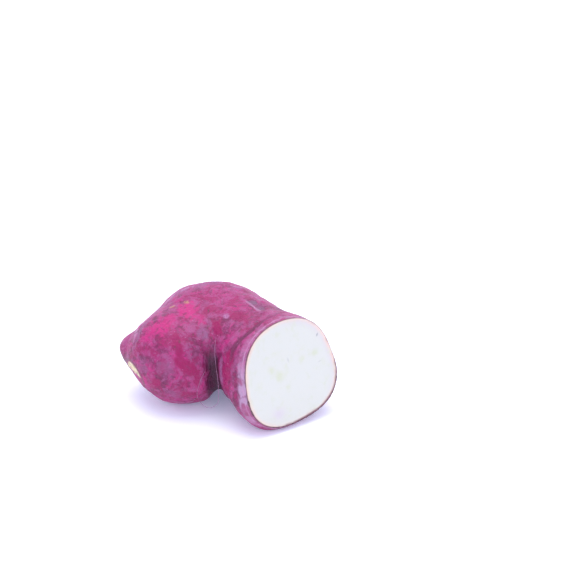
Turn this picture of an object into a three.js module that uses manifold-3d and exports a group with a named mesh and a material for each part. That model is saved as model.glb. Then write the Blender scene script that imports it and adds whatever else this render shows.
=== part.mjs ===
// Sweet potato storage root lying on a table, one end sliced off to show the flat round of its flesh.
// Millimetres, +Z up. The root rests on z = 0: X runs along its longest extent from the stub of the
// thin end to the sliced end, and the hollow of its bend faces -Y.
import * as THREE from 'three';
import { ParametricGeometry } from 'three/addons/geometries/ParametricGeometry.js';
import { mergeVertices } from 'three/addons/utils/BufferGeometryUtils.js';
import Module from 'manifold-3d';

const wasm = await Module();
wasm.setup();

const rad = THREE.MathUtils.degToRad;
const UPRIGHT = new THREE.Vector3(0, 0, 1);

// Sliced end: a flat cut, turned to the right of -Y and leaning back so the round looks slightly upward.
const CUT_TURN = rad(34);
const CUT_LEAN = rad(12);
const CUT_CENTRE = new THREE.Vector3(70.8, -34.6, 33.9);
const CUT_RADIUS = 29.8;

// Swellings of the root: a place and a radius each.
const BEND = { at: new THREE.Vector3(32.6, 17.0, 29.8), r: 30.2 };
const SHOULDER = { at: new THREE.Vector3(15.7, 17.7, 31.0), r: 27.4 };
const BULB = { at: new THREE.Vector3(62.6, -25.4, 30.8), r: 30.8 };
const FRONT_LOBE = { at: new THREE.Vector3(7.3, -3.9, 27.0), r: 25.5, long: 31.9 };
const NECK = { at: new THREE.Vector3(20.5, 19.1, 28.0), r: 23.3 };
const STUB = { at: new THREE.Vector3(-22.6, 2.7, 28.9), r: 7.2 };
// The limbs between swellings are a little slimmer than the swellings they leave.
const LOBE_WAIST = 0.5;
const BULB_WAIST = 1;
// How far past the cut the sliced limb would have run before its own end begins to round off.
const PAST_CUT = 2;

// The sliced limb is not a true circle: three and four shallow corners round it, fading inward.
const CORNER_3 = { cos: 0.42, sin: -0.96 };
const CORNER_4 = { cos: -0.96, sin: -0.4 };
const CORNER_REACH = 22;
const CORNER_SHARE_ABOVE = 0.5;
// Heel: the fuller underside just behind the cut.
const HEEL = { bulge: 5.3, behind: 7.8, reach: 9, toward: rad(-80) };

// How softly the swellings run into one another.
const LIMB_BLEND = 6;
const STUB_BLEND = 7;
const LOBE_BLEND = 12;
// The fold between front lobe and sliced limb is tight at the table and opens out above.
const FOLD_TIGHT = 1.5;
const FOLD_OPEN = 14;
const FOLD_HEIGHT = 55;

// The thin end has been trimmed by two strokes that meet at a blunt edge below the stub.
const TRIM_LOW = { at: new THREE.Vector3(-16.0, -24.7, 18.3), n: new THREE.Vector3(-0.694, -0.227, -0.683) };
const TRIM_TIP = { at: new THREE.Vector3(-22.9, -12.6, 26.0), n: new THREE.Vector3(-0.830, -0.500, -0.247) };
const TRIM_EDGE = 0.8;

// Sections swing about an upright line standing in the gap between the two limbs.
const GAP_OFFSET = 45;
const SWING_FROM = rad(123);
const SPINE_FAR = 28;
const SPINE_TURN_FROM = rad(42);
const SPINE_TURN_OVER = rad(62);
const SPINE_LOW = 27;
const LEAN_FROM = 0.5;

// Counts of facets: round the root, over the rounded thin end, along it, and across the cut.
const AROUND = 54;
const END_ROWS = 14;
const BODY_ROWS = 34;
const CUT_ROWS = 3;

// Stepping out from the spine to the skin.
const FIRST_STEP = 2;
const STEP_SHARE = 0.8;
const STEP_MAX = 6;
const STEPS = 90;
// The underside is flattened where it would sink into the table.
const TABLE_SPAN = 400;
const TABLE_DEPTH = 20;
const WELD = 1e-4;

const cutNormal = new THREE.Vector3(
  Math.cos(CUT_LEAN) * Math.sin(CUT_TURN),
  -Math.cos(CUT_LEAN) * Math.cos(CUT_TURN),
  Math.sin(CUT_LEAN)
);
const cutAcross = new THREE.Vector3(Math.cos(CUT_TURN), Math.sin(CUT_TURN), 0);
const cutUp = new THREE.Vector3().crossVectors(cutNormal, cutAcross);
const gap = new THREE.Vector2(
  CUT_CENTRE.x - GAP_OFFSET * Math.cos(CUT_TURN),
  CUT_CENTRE.y - GAP_OFFSET * Math.sin(CUT_TURN)
);

// 0 to 1 with level ends.
function ease(x) {
  const t = THREE.MathUtils.clamp(x, 0, 1);
  return t * t * (3 - 2 * t);
}

// Union of two signed distances, rounded off over a width k.
function blend(a, b, k) {
  const h = THREE.MathUtils.clamp(0.5 + 0.5 * (b - a) / k, 0, 1);
  return b + (a - b) * h - k * h * (1 - h);
}

// Keeps what lies inside both, with the edge rounded over k.
function trim(a, b, k) {
  return -blend(-a, -b, k);
}

// Distance outside a limb that runs from one centre to another and changes radius on the way.
function limb(p, from, fromR, to, toR) {
  const along = new THREE.Vector3().subVectors(to, from);
  const reach = new THREE.Vector3().subVectors(p, from);
  const t = THREE.MathUtils.clamp(reach.dot(along) / along.lengthSq(), 0, 1);
  return reach.addScaledVector(along, -t).length() - (fromR + (toR - fromR) * ease(t));
}

// Distance outside an egg whose long axis lies along X.
function egg(p, at, long, r) {
  const q = new THREE.Vector3().subVectors(p, at);
  q.divide(new THREE.Vector3(long, r, r));
  return (q.length() - 1) * Math.min(long, r);
}

// Distance in front of a plane.
function front(p, at, normal) {
  return new THREE.Vector3().subVectors(p, at).dot(normal);
}

// Out-of-round of the sliced limb at a point: shallow corners plus the heel.
function outOfRound(p) {
  const q = new THREE.Vector3().subVectors(p, CUT_CENTRE);
  const turn = Math.atan2(q.dot(cutUp), q.dot(cutAcross));
  const ahead = q.dot(cutNormal);
  const fade = Math.exp(-((Math.min(ahead, 0) / CORNER_REACH) ** 2));
  const corners =
    CORNER_3.cos * Math.cos(3 * turn) +
    CORNER_3.sin * Math.sin(3 * turn) +
    CORNER_4.cos * Math.cos(4 * turn) +
    CORNER_4.sin * Math.sin(4 * turn);
  const facing = Math.max(Math.cos(turn - HEEL.toward), 0);
  const heel = HEEL.bulge * Math.exp(-(((ahead + HEEL.behind) / HEEL.reach) ** 2)) * facing;
  return fade * corners + heel;
}

// Signed distance of the whole root, before the slice and the table.
const cutEnd = CUT_CENTRE.clone().addScaledVector(cutNormal, PAST_CUT);
function root(p) {
  const uneven = outOfRound(p);
  const nearCut = limb(p, BULB.at, BULB.r, cutEnd, CUT_RADIUS) - uneven;
  const upperLimb = limb(p, BEND.at, BEND.r, BULB.at, BULB.r - BULB_WAIST) - uneven * CORNER_SHARE_ABOVE;
  const slicedLimb = blend(upperLimb, nearCut, LIMB_BLEND);
  const body = limb(p, FRONT_LOBE.at, FRONT_LOBE.r - LOBE_WAIST, SHOULDER.at, SHOULDER.r);
  const lobe = blend(egg(p, FRONT_LOBE.at, FRONT_LOBE.long, FRONT_LOBE.r), body, LOBE_BLEND);
  const thinEnd = blend(limb(p, STUB.at, STUB.r, NECK.at, NECK.r), lobe, STUB_BLEND);
  const height = THREE.MathUtils.clamp(p.z / FOLD_HEIGHT, 0, 1);
  const fold = FOLD_TIGHT + (FOLD_OPEN - FOLD_TIGHT) * height * height;
  const whole = blend(thinEnd, slicedLimb, fold);
  const trimmed = trim(whole, front(p, TRIM_LOW.at, TRIM_LOW.n), TRIM_EDGE);
  return trim(trimmed, front(p, TRIM_TIP.at, TRIM_TIP.n), TRIM_EDGE);
}

// Spine point and the direction the section faces, at a share s of the swing from thin end to cut.
function spine(s) {
  const turn = SWING_FROM + (CUT_TURN - SWING_FROM) * s;
  const far = GAP_OFFSET + SPINE_FAR * ease((turn - SPINE_TURN_FROM) / SPINE_TURN_OVER);
  const height = SPINE_LOW + (CUT_CENTRE.z - SPINE_LOW) * ease(s);
  const lean = CUT_LEAN * ease((s - LEAN_FROM) / (1 - LEAN_FROM));
  return {
    at: new THREE.Vector3(gap.x + far * Math.cos(turn), gap.y + far * Math.sin(turn), height),
    facing: new THREE.Vector3(
      Math.cos(lean) * Math.sin(turn),
      -Math.cos(lean) * Math.cos(turn),
      Math.sin(lean)
    ),
  };
}

// Skin point met by a ray that leaves the spine at s, swung back by `back` and round by `turn`.
function skinPoint(s, back, turn) {
  const { at, facing } = spine(s);
  const side = new THREE.Vector3().crossVectors(facing, UPRIGHT).normalize();
  const top = new THREE.Vector3().crossVectors(side, facing);
  const ray = side.multiplyScalar(Math.cos(turn)).addScaledVector(top, Math.sin(turn));
  ray.multiplyScalar(Math.cos(back)).addScaledVector(facing, -Math.sin(back));
  const p = new THREE.Vector3();
  let out = FIRST_STEP;
  for (let i = 0; i < STEPS; i += 1) {
    p.copy(at).addScaledVector(ray, out);
    out += Math.min(-root(p) * STEP_SHARE, STEP_MAX);
  }
  return p.copy(at).addScaledVector(ray, out);
}

// Surface of the root as rows from the tip of the thin end, along the body, then in over the cut.
const rows = END_ROWS + BODY_ROWS + CUT_ROWS;
function surface(u, v, target) {
  const row = Math.round(u * rows);
  const turn = 2 * Math.PI * v;
  if (row <= END_ROWS) {
    target.copy(skinPoint(0, (Math.PI / 2) * (1 - row / END_ROWS), turn));
  } else if (row <= END_ROWS + BODY_ROWS) {
    target.copy(skinPoint((row - END_ROWS) / BODY_ROWS, 0, turn));
  } else {
    const inward = (row - END_ROWS - BODY_ROWS) / CUT_ROWS;
    target.copy(skinPoint(1, 0, turn)).lerp(CUT_CENTRE, inward);
  }
}

// Welds the seam and both poles so the surface is one closed body.
function toSolid(geometry) {
  const bare = new THREE.BufferGeometry();
  bare.setAttribute('position', geometry.getAttribute('position'));
  bare.setIndex(geometry.getIndex());
  const welded = mergeVertices(bare, WELD);
  const corners = welded.getIndex().array;
  const faces = [];
  for (let i = 0; i < corners.length; i += 3) {
    const [a, b, c] = [corners[i], corners[i + 1], corners[i + 2]];
    if (a !== b && b !== c && c !== a) faces.push(a, b, c);
  }
  return new wasm.Manifold(
    new wasm.Mesh({
      numProp: 3,
      vertProperties: new Float32Array(welded.getAttribute('position').array),
      triVerts: new Uint32Array(faces),
    })
  );
}

const skin = toSolid(new ParametricGeometry(surface, rows, AROUND));
const tableBox = new THREE.BoxGeometry(TABLE_SPAN, TABLE_SPAN, TABLE_DEPTH);
tableBox.translate(0, 0, -TABLE_DEPTH / 2);
const rooted = skin.subtract(toSolid(tableBox)).getMesh();

const geometry = new THREE.BufferGeometry();
geometry.setAttribute('position', new THREE.BufferAttribute(new Float32Array(rooted.vertProperties), 3));
geometry.setIndex(new THREE.BufferAttribute(new Uint32Array(rooted.triVerts), 1));
geometry.computeBoundingBox();
const middle = geometry.boundingBox.getCenter(new THREE.Vector3());
geometry.translate(-middle.x, -middle.y, -geometry.boundingBox.min.z);
geometry.computeVertexNormals();

const skinMaterial = new THREE.MeshStandardMaterial({ color: 0xa8467f, roughness: 0.45, metalness: 0 });
skinMaterial.name = 'skin';
const mesh = new THREE.Mesh(geometry, skinMaterial);
mesh.name = 'sweet_potato_root';

const group = new THREE.Group();
group.name = 'sweet_potato';
group.add(mesh);
export default group;
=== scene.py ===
"""Sweet potato storage root: purple skin, pale flesh, one end sliced flat.

The grown shape is a smooth joining of swellings, given by one signed-distance
formula. Rays fan out from a spine inside the root and stop at the skin, which
makes one closed surface of two parameters: along the root and round it. Skin
relief, marks and the cut round are laid on that surface as whole arrays.

Working frame: millimetres, X right, Y away, Z up, the root lying on Z = 0.
"""

import logging
import math
from dataclasses import dataclass, field
from enum import Enum

import bpy
import numpy as np
from mathutils import Matrix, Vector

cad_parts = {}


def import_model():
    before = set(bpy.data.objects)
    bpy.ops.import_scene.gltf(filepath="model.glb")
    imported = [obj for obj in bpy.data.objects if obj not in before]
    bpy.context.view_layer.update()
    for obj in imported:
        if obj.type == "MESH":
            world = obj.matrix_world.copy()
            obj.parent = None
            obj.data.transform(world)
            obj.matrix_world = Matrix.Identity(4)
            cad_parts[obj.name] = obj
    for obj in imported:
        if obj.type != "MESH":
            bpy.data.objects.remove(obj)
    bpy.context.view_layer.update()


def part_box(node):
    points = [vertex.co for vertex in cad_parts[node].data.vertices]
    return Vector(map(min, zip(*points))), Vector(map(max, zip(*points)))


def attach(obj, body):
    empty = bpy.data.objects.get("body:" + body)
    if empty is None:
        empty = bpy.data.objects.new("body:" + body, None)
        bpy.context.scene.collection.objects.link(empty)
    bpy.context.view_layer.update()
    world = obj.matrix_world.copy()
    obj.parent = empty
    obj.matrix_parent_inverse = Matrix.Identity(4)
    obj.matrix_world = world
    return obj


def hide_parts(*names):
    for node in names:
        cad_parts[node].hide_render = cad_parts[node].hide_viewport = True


LOG = logging.getLogger("sweet_potato")

NODE = "sweet_potato_root"
BODY = "root"
MM = 0.001

Array = np.ndarray


class Quality(Enum):
    """How finely the root is surfaced: rows over the thin end, along it, across the cut, and round."""

    FULL = (104, 288, 18, 234)


class Stroke(Enum):
    """Which trimming stroke left a flat on the thin end."""

    LOW = "low"
    TIP = "tip"


def vec(*values: float) -> Array:
    """A point or direction as an array of floats."""
    return np.array(values, dtype=float)


def unit(v: Array) -> Array:
    """The same directions at length one."""
    return v / np.maximum(np.linalg.norm(v, axis=-1, keepdims=True), 1e-12)


def ease(x: Array | float) -> Array:
    """Zero to one with level ends: t squared times (3 - 2t)."""
    t = np.clip(x, 0.0, 1.0)
    return t * t * (3.0 - 2.0 * t)


def merge(a: Array, b: Array, width: Array | float) -> Array:
    """Union of two signed distances, rounded off over a width: the lower, less a hump where they meet."""
    share = np.clip(0.5 + 0.5 * (b - a) / width, 0.0, 1.0)
    return b + (a - b) * share - width * share * (1.0 - share)


def pare(a: Array, b: Array, width: float) -> Array:
    """What lies inside both distances, its edge rounded over a width."""
    return -merge(-a, -b, width)


@dataclass(frozen=True)
class Swelling:
    """A round swelling of the root: a centre and a radius, in millimetres."""

    at: tuple[float, float, float]
    r: float

    def centre(self) -> Array:
        """The centre as an array."""
        return vec(*self.at)


@dataclass(frozen=True)
class Grain:
    """Smooth random values over space, from a lattice of hashed numbers.

    Attributes:
        seed: Picks one fixed pattern out of many.
    """

    seed: int

    def _hash(self, cell: Array) -> Array:
        """A fixed number in -1..1 for each lattice cell, by mixing its three whole coordinates."""
        c = cell.astype(np.int64)
        h = c[..., 0] * 374761393 + c[..., 1] * 668265263 + c[..., 2] * 2147483647 + self.seed * 974634777
        h = (h ^ (h >> 13)) * 1274126177 & 0xFFFFFFFF
        h = (h ^ (h >> 16)) * 2246822519 & 0xFFFFFFFF
        h = h ^ (h >> 15)
        return (h & 0xFFFFFF) / float(0x7FFFFF) - 1.0

    def at(self, p: Array, size: float, octaves: int = 1) -> Array:
        """Values of the pattern at points.

        Args:
            p: Points, in millimetres.
            size: Distance over which the coarsest pattern changes, in millimetres.
            octaves: How many ever finer patterns are added, each half the size and strength.

        Returns:
            One value in about -1..1 for each point: the eight hashed corners of
            the point's cell, mixed with an eased share along each axis.
        """
        total = np.zeros(p.shape[:-1])
        strength, reach, norm = 1.0, size, 0.0
        for level in range(octaves):
            q = p / reach + 17.3 * level
            base = np.floor(q)
            f = ease(q - base)
            value = np.zeros(p.shape[:-1])
            for corner in np.ndindex(2, 2, 2):
                offset = np.array(corner)
                weight = np.prod(np.where(offset == 1, f, 1.0 - f), axis=-1)
                value += weight * self._hash(base + offset)
            total += strength * value
            norm += strength
            strength *= 0.5
            reach *= 0.5
        return total / norm

    def ridged(self, p: Array, size: float, octaves: int = 2) -> Array:
        """Thin crests where the smooth pattern passes zero: one less four times its size, kept above zero."""
        return np.clip(1.0 - np.abs(self.at(p, size, octaves)) * 4.0, 0.0, 1.0)


@dataclass(frozen=True)
class CutPlane:
    """The flat round left by the slice across the thick end."""

    turn: float = math.radians(34)
    lean: float = math.radians(12)
    at: tuple[float, float, float] = (70.8, -34.6, 33.9)
    radius: float = 29.8

    def centre(self) -> Array:
        """Middle of the round."""
        return vec(*self.at)

    def normal(self) -> Array:
        """Outward normal: turned off -Y by turn, tilted up by lean."""
        flat = math.cos(self.lean)
        return vec(flat * math.sin(self.turn), -flat * math.cos(self.turn), math.sin(self.lean))

    def across(self) -> Array:
        """Level direction in the cut."""
        return vec(math.cos(self.turn), math.sin(self.turn), 0.0)

    def up(self) -> Array:
        """Upward direction in the cut."""
        return np.cross(self.normal(), self.across())

    def polar(self, p: Array) -> tuple[Array, Array, Array]:
        """Cylinder coordinates about the cut's axis.

        Args:
            p: Points in the working frame.

        Returns:
            Angle round the axis, distance from it, and distance in front of the cut.
        """
        q = p - self.centre()
        a, b = q @ self.across(), q @ self.up()
        return np.arctan2(b, a), np.hypot(a, b), q @ self.normal()


@dataclass(frozen=True)
class Trim:
    """A flat trimmed off the thin end: a point on it and its outward normal."""

    stroke: Stroke
    at: tuple[float, float, float]
    n: tuple[float, float, float]

    def front(self, p: Array) -> Array:
        """Distance in front of the flat."""
        return (p - vec(*self.at)) @ vec(*self.n)


@dataclass(frozen=True)
class RootForm:
    """The grown shape of the root as a signed distance, and the rays that find its skin."""

    cut: CutPlane = CutPlane()
    bend: Swelling = Swelling((32.6, 17.0, 29.8), 30.2)
    shoulder: Swelling = Swelling((15.7, 17.7, 31.0), 27.4)
    bulb: Swelling = Swelling((62.6, -25.4, 30.8), 30.8)
    lobe: Swelling = Swelling((7.3, -3.9, 27.0), 25.5)
    lobe_long: float = 31.9
    neck: Swelling = Swelling((20.5, 19.1, 28.0), 23.3)
    stub: Swelling = Swelling((-22.6, 2.7, 28.9), 7.2)
    trims: tuple[Trim, ...] = (
        Trim(Stroke.LOW, (-16.0, -24.7, 18.3), (-0.694, -0.227, -0.683)),
        Trim(Stroke.TIP, (-22.9, -12.6, 26.0), (-0.830, -0.500, -0.247)),
    )
    corners: tuple[tuple[int, float, float], ...] = ((3, 0.42, -0.96), (4, -0.96, -0.4))
    corner_reach: float = 22.0
    corner_share_above: float = 0.5
    heel: tuple[float, float, float, float] = (5.3, 7.8, 9.0, math.radians(-80))
    past_cut: float = 2.0
    bulb_waist: float = 1.0
    lobe_waist: float = 0.5
    limb_blend: float = 6.0
    lobe_blend: float = 12.0
    stub_blend: float = 7.0
    fold_tight: float = 1.5
    fold_open: float = 14.0
    fold_height: float = 55.0
    trim_edge: float = 0.8
    gap_offset: float = 45.0
    swing_from: float = math.radians(123)
    spine_far: float = 28.0
    spine_turn_from: float = math.radians(42)
    spine_turn_over: float = math.radians(62)
    spine_low: float = 27.0
    lean_from: float = 0.5

    @staticmethod
    def limb(p: Array, a: Swelling, b: Swelling, shrink_a: float = 0.0, shrink_b: float = 0.0) -> Array:
        """Distance outside a limb whose radius eases from one swelling to another.

        Args:
            p: Points in the working frame.
            a: Swelling the limb starts in.
            b: Swelling it ends in.
            shrink_a: Taken off the first radius.
            shrink_b: Taken off the second radius.

        Returns:
            Distance to the nearest point of the line between the centres, less the radius there.
        """
        along = b.centre() - a.centre()
        q = p - a.centre()
        t = np.clip((q @ along) / (along @ along), 0.0, 1.0)
        radius = (a.r - shrink_a) + ((b.r - shrink_b) - (a.r - shrink_a)) * ease(t)
        return np.linalg.norm(q - t[..., None] * along, axis=-1) - radius

    def uneven(self, p: Array) -> Array:
        """Out-of-round of the sliced limb: three and four shallow corners that fade inward, plus the heel."""
        angle, _, ahead = self.cut.polar(p)
        fade = np.exp(-((np.minimum(ahead, 0.0) / self.corner_reach) ** 2))
        corners = sum(cos * np.cos(count * angle) + sin * np.sin(count * angle) for count, cos, sin in self.corners)
        bulge, behind, reach, toward = self.heel
        facing = np.maximum(np.cos(angle - toward), 0.0)
        return fade * corners + bulge * np.exp(-(((ahead + behind) / reach) ** 2)) * facing

    def limbs(self, p: Array) -> tuple[Array, Array]:
        """Signed distances of the lobed thin half and of the sliced limb, before they are merged."""
        uneven = self.uneven(p)
        end = Swelling(tuple(self.cut.centre() + self.past_cut * self.cut.normal()), self.cut.radius)
        near = self.limb(p, self.bulb, end) - uneven
        upper = self.limb(p, self.bend, self.bulb, 0.0, self.bulb_waist) - uneven * self.corner_share_above
        sliced = merge(upper, near, self.limb_blend)
        body = self.limb(p, self.lobe, self.shoulder, self.lobe_waist, 0.0)
        q = (p - self.lobe.centre()) / vec(self.lobe_long, self.lobe.r, self.lobe.r)
        egg = (np.linalg.norm(q, axis=-1) - 1.0) * self.lobe.r
        thin = merge(self.limb(p, self.stub, self.neck), merge(egg, body, self.lobe_blend), self.stub_blend)
        return thin, sliced

    def distance(self, p: Array) -> Array:
        """Signed distance of the whole root: both halves merged over a fold that opens upward, then trimmed."""
        thin, sliced = self.limbs(p)
        height = np.clip(p[..., 2] / self.fold_height, 0.0, 1.0)
        width = self.fold_tight + (self.fold_open - self.fold_tight) * height * height
        whole = merge(thin, sliced, width)
        for trim in self.trims:
            whole = pare(whole, trim.front(p), self.trim_edge)
        return whole

    def outward(self, p: Array) -> Array:
        """Unit directions straight out of the skin: differences of the distance over a small step each way."""
        step = 0.05
        return unit(np.stack([self.distance(p + step * axis) - self.distance(p - step * axis)
                              for axis in np.eye(3)], axis=-1))

    def spine(self, s: Array) -> tuple[Array, Array]:
        """Spine points and the way their sections face.

        Args:
            s: Share of the swing from the thin end, 0, to the cut, 1.

        Returns:
            Points on an arc about an upright line in the gap between the limbs,
            and unit directions square to the radius from that line.
        """
        turn = self.swing_from + (self.cut.turn - self.swing_from) * s
        far = self.gap_offset + self.spine_far * ease((turn - self.spine_turn_from) / self.spine_turn_over)
        lean = self.cut.lean * ease((s - self.lean_from) / (1.0 - self.lean_from))
        gap = self.cut.centre()[:2] - self.gap_offset * self.cut.across()[:2]
        height = self.spine_low + (self.cut.at[2] - self.spine_low) * ease(s)
        at = np.stack([gap[0] + far * np.cos(turn), gap[1] + far * np.sin(turn), height], axis=-1)
        facing = np.stack([np.cos(lean) * np.sin(turn), -np.cos(lean) * np.cos(turn), np.sin(lean)], axis=-1)
        return at, facing

    def skin(self, end_rows: int, body_rows: int, around: int) -> Array:
        """The skin as a grid of points.

        Args:
            end_rows: Rows over the rounded thin end.
            body_rows: Rows along the body.
            around: Points round each row.

        Returns:
            An array (rows, around, 3). Rows are rays that lean back from the
            first section by 90 degrees down to 0, then square to the spine; each
            ray is stepped outward by the signed distance until it meets the skin.
        """
        back = np.concatenate([np.linspace(math.pi / 2, 0.0, end_rows + 1), np.zeros(body_rows)])
        share = np.concatenate([np.zeros(end_rows + 1), np.linspace(0.0, 1.0, body_rows + 1)[1:]])
        at, facing = self.spine(share)
        side = unit(np.cross(facing, vec(0.0, 0.0, 1.0)))
        top = np.cross(side, facing)
        turn = np.linspace(0.0, 2.0 * math.pi, around, endpoint=False)
        ring = side[:, None] * np.cos(turn)[None, :, None] + top[:, None] * np.sin(turn)[None, :, None]
        ray = ring * np.cos(back)[:, None, None] - facing[:, None] * np.sin(back)[:, None, None]
        out = np.full(ray.shape[:2], 12.0)
        for _ in range(46):
            out += np.clip(-self.distance(at[:, None] + ray * out[..., None]) * 0.85, -4.0, 8.0)
        return at[:, None] + ray * out[..., None]


@dataclass(frozen=True)
class Patch:
    """One mark on the skin, as a soft-edged ellipsoid round a place.

    Attributes:
        at: Centre, in millimetres.
        size: Half-lengths along the mark and across it, in millimetres.
        along: Direction of its length.
        strength: Depth of colour at its middle.
        ragged: How far its edge wanders, as a share of its size.
    """

    at: tuple[float, float, float]
    size: tuple[float, float]
    along: tuple[float, float, float] = (0.0, 0.0, 1.0)
    strength: float = 1.0
    ragged: float = 0.35

    def cover(self, p: Array, wander: Array) -> Array:
        """How strongly the mark covers each point: one inside, easing to zero at its ragged edge."""
        q = p - vec(*self.at)
        axis = unit(vec(*self.along))
        length = q @ axis
        width = np.linalg.norm(q - length[..., None] * axis, axis=-1)
        reach = np.hypot(length / self.size[0], width / self.size[1]) + self.ragged * wander
        return self.strength * ease((1.30 - reach) / 0.6)


@dataclass(frozen=True)
class SkinMarks:
    """Where the skin changes colour: each list is one kind of mark."""

    hot: tuple[Patch, ...] = (
        Patch((-6.9, -15.2, 49.6), (8.0, 5.5), (0.8, 0.5, 0.4), 0.9, 0.8),
        Patch((0.3, -10.7, 53.7), (6.0, 4.5), (0.6, 0.8, 0.2), 0.7, 0.8),
        Patch((12.6, -4.1, 56.1), (8.0, 5.5), (0.5, -0.8, -0.1), 0.9, 0.8),
        Patch((18.6, -9.8, 54.5), (5.0, 3.5), (0.5, -0.8, -0.1), 0.7, 0.8),
        Patch((8.0, -30.1, 37.5), (4.5, 2.2), (0.3, -0.3, -0.9), 0.9, 0.6),
    )
    crimson: tuple[Patch, ...] = (
        Patch((5.6, -22.5, 48.2), (6.0, 2.4), (0.2, -0.6, -0.7), 0.9, 0.6),
        Patch((7.4, -27.8, 42.1), (6.0, 2.6), (0.1, -0.4, -0.9), 1.0, 0.6),
        Patch((8.0, -30.1, 37.5), (4.5, 3.6), (0.3, -0.2, -0.9), 1.0, 0.6),
        Patch((13.0, -31.1, 32.9), (6.0, 4.0), (0.6, 0.0, -0.7), 1.0, 0.6),
        Patch((17.4, -30.7, 25.5), (6.5, 2.2), (0.1, 0.1, -0.9), 0.9, 0.5),
        Patch((-5.7, -29.3, 22.8), (3.8, 2.9), (1.0, 0.0, 0.1), 1.0, 0.5),
        Patch((12.3, -28.9, 14.7), (6.0, 3.6), (1.0, 0.1, -0.2), 0.9, 0.5),
        Patch((0.0, -27.0, 46.0), (6.0, 1.2), (0.9, -0.3, -0.3), 0.8, 0.5),
        Patch((28.7, -17.0, 51.8), (5.0, 2.8), (0.3, -0.7, -0.6), 1.0, 0.6),
        Patch((22.0, -6.0, 57.5), (8.0, 3.0), (0.8, 0.5, 0.0), 0.8, 0.8),
        Patch((38.0, 2.0, 59.0), (7.0, 3.5), (0.4, 0.9, 0.0), 0.7, 0.8),
        Patch((42.0, -16.0, 58.0), (8.0, 3.5), (0.6, -0.7, 0.2), 0.8, 0.8),
        Patch((36.2, -37.5, 43.5), (6.0, 3.4), (0.2, -0.1, -0.97), 1.0, 0.5),
        Patch((34.8, -38.3, 35.0), (7.0, 4.2), (0.1, 0.0, -0.99), 1.0, 0.5),
        Patch((34.6, -39.0, 25.5), (6.0, 3.4), (0.1, -0.2, -0.97), 0.8, 0.5),
        Patch((50.0, 20.0, 50.0), (9.0, 5.0), (0.7, -0.6, -0.2), 0.8, 0.8),
        Patch((14.0, 40.0, 40.0), (10.0, 5.0), (0.9, 0.1, -0.2), 0.8, 0.8),
        Patch((70.0, 0.0, 50.0), (8.0, 4.0), (0.3, -0.8, 0.2), 0.8, 0.8),
    )
    # Dark crimson band in the hollow behind the collar, darkened partly as painted shade there; also carved as a
    # shallow groove.
    valley: tuple[Patch, ...] = (
        Patch((58.5, -25.5, 62.5), (4.5, 1.2), (0.7, 0.5, 0.2), 0.6),
        Patch((52.2, -30.4, 60.8), (5.5, 1.5), (0.7, 0.6, 0.2), 0.8),
        Patch((46.5, -34.0, 57.3), (5.5, 1.7), (0.75, 0.3, 0.55), 0.95),
        Patch((41.8, -35.0, 53.5), (5.0, 1.9), (0.7, 0.2, 0.7), 1.0),
        Patch((39.0, -36.1, 49.7), (5.0, 2.0), (0.4, 0.2, 0.85), 1.0),
        Patch((37.6, -38.0, 44.0), (5.0, 1.4), (0.1, 0.1, 0.97), 0.7),
    )
    # Grey-lilac wax bloom in patches; the long thin patches along the top ridge are painted sheen where light
    # glances off the skin.
    bloom_and_ridge_sheen: tuple[Patch, ...] = (
        Patch((20.7, -19.4, 48.6), (4.2, 3.4), (0.3, -0.7, -0.6), 1.0, 0.4),
        Patch((-4.0, 12.0, 50.5), (9.0, 2.6), (0.6, 0.6, 0.5), 0.9, 0.6),
        Patch((6.1, 20.0, 57.5), (8.0, 3.2), (0.8, 0.4, 0.3), 1.0, 0.6),
        Patch((-14.5, -8.0, 45.5), (8.0, 2.6), (0.5, 0.7, 0.5), 0.9, 0.6),
        Patch((33.7, -11.2, 56.5), (2.0, 1.5), (0.6, -0.6, 0.0), 1.0, 0.5),
        Patch((22.0, 23.0, 60.0), (9.0, 2.6), (1.0, 0.0, 0.0), 0.9, 0.7),
        Patch((38.0, 20.0, 59.5), (6.0, 2.4), (1.0, -0.1, 0.0), 0.8, 0.7),
        Patch((0.0, -31.0, 33.0), (5.0, 6.0), (1.0, 0.0, -0.2), 0.55, 0.7),
        Patch((4.0, -29.5, 17.0), (5.0, 3.0), (1.0, 0.0, -0.2), 0.5, 0.7),
        Patch((-13.0, -24.5, 33.0), (6.0, 4.0), (0.3, 0.2, 0.9), 0.5, 0.7),
        Patch((26.5, -27.5, 40.0), (7.0, 2.2), (0.1, -0.3, -0.9), 0.6, 0.7),
        Patch((31.0, -33.5, 32.0), (11.0, 2.0), (0.0, -0.1, -0.99), 1.0, 0.5),
        Patch((20.0, 44.0, 30.0), (8.0, 5.0), (1.0, 0.1, 0.2), 0.7, 0.8),
        Patch((60.0, 18.0, 34.0), (8.0, 4.0), (0.5, -0.7, 0.2), 0.7, 0.8),
    )
    # Painted highlight: a pale lilac line along the top ridge, where light glances off the skin.
    painted_ridge_highlight: tuple[Patch, ...] = (
        Patch((-19.8, -9.6, 41.0), (4.0, 1.9), (0.3, 0.6, 0.7), 0.7, 0.9),
        Patch((-16.0, -1.0, 44.5), (6.0, 1.5), (0.4, 0.8, 0.4), 0.85, 0.9),
        Patch((-9.0, 9.0, 48.5), (5.5, 1.3), (0.5, 0.8, 0.3), 0.8, 0.9),
        Patch((-1.0, 17.0, 53.0), (6.5, 1.6), (0.6, 0.7, 0.4), 0.9, 0.9),
        Patch((8.5, 21.5, 58.0), (4.5, 1.8), (0.9, 0.3, 0.3), 0.9, 0.9),
        Patch((22.0, 24.0, 59.5), (5.0, 1.3), (1.0, 0.1, 0.0), 0.6, 0.9),
        Patch((36.0, 21.0, 59.5), (5.0, 1.3), (1.0, -0.1, 0.0), 0.7, 0.9),
        Patch((50.0, 8.0, 57.5), (5.0, 1.5), (0.8, -0.6, 0.0), 0.5, 0.9),
        Patch((33.7, -11.2, 56.5), (2.0, 1.5), (0.6, -0.6, 0.0), 0.8, 0.7),
    )
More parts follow.
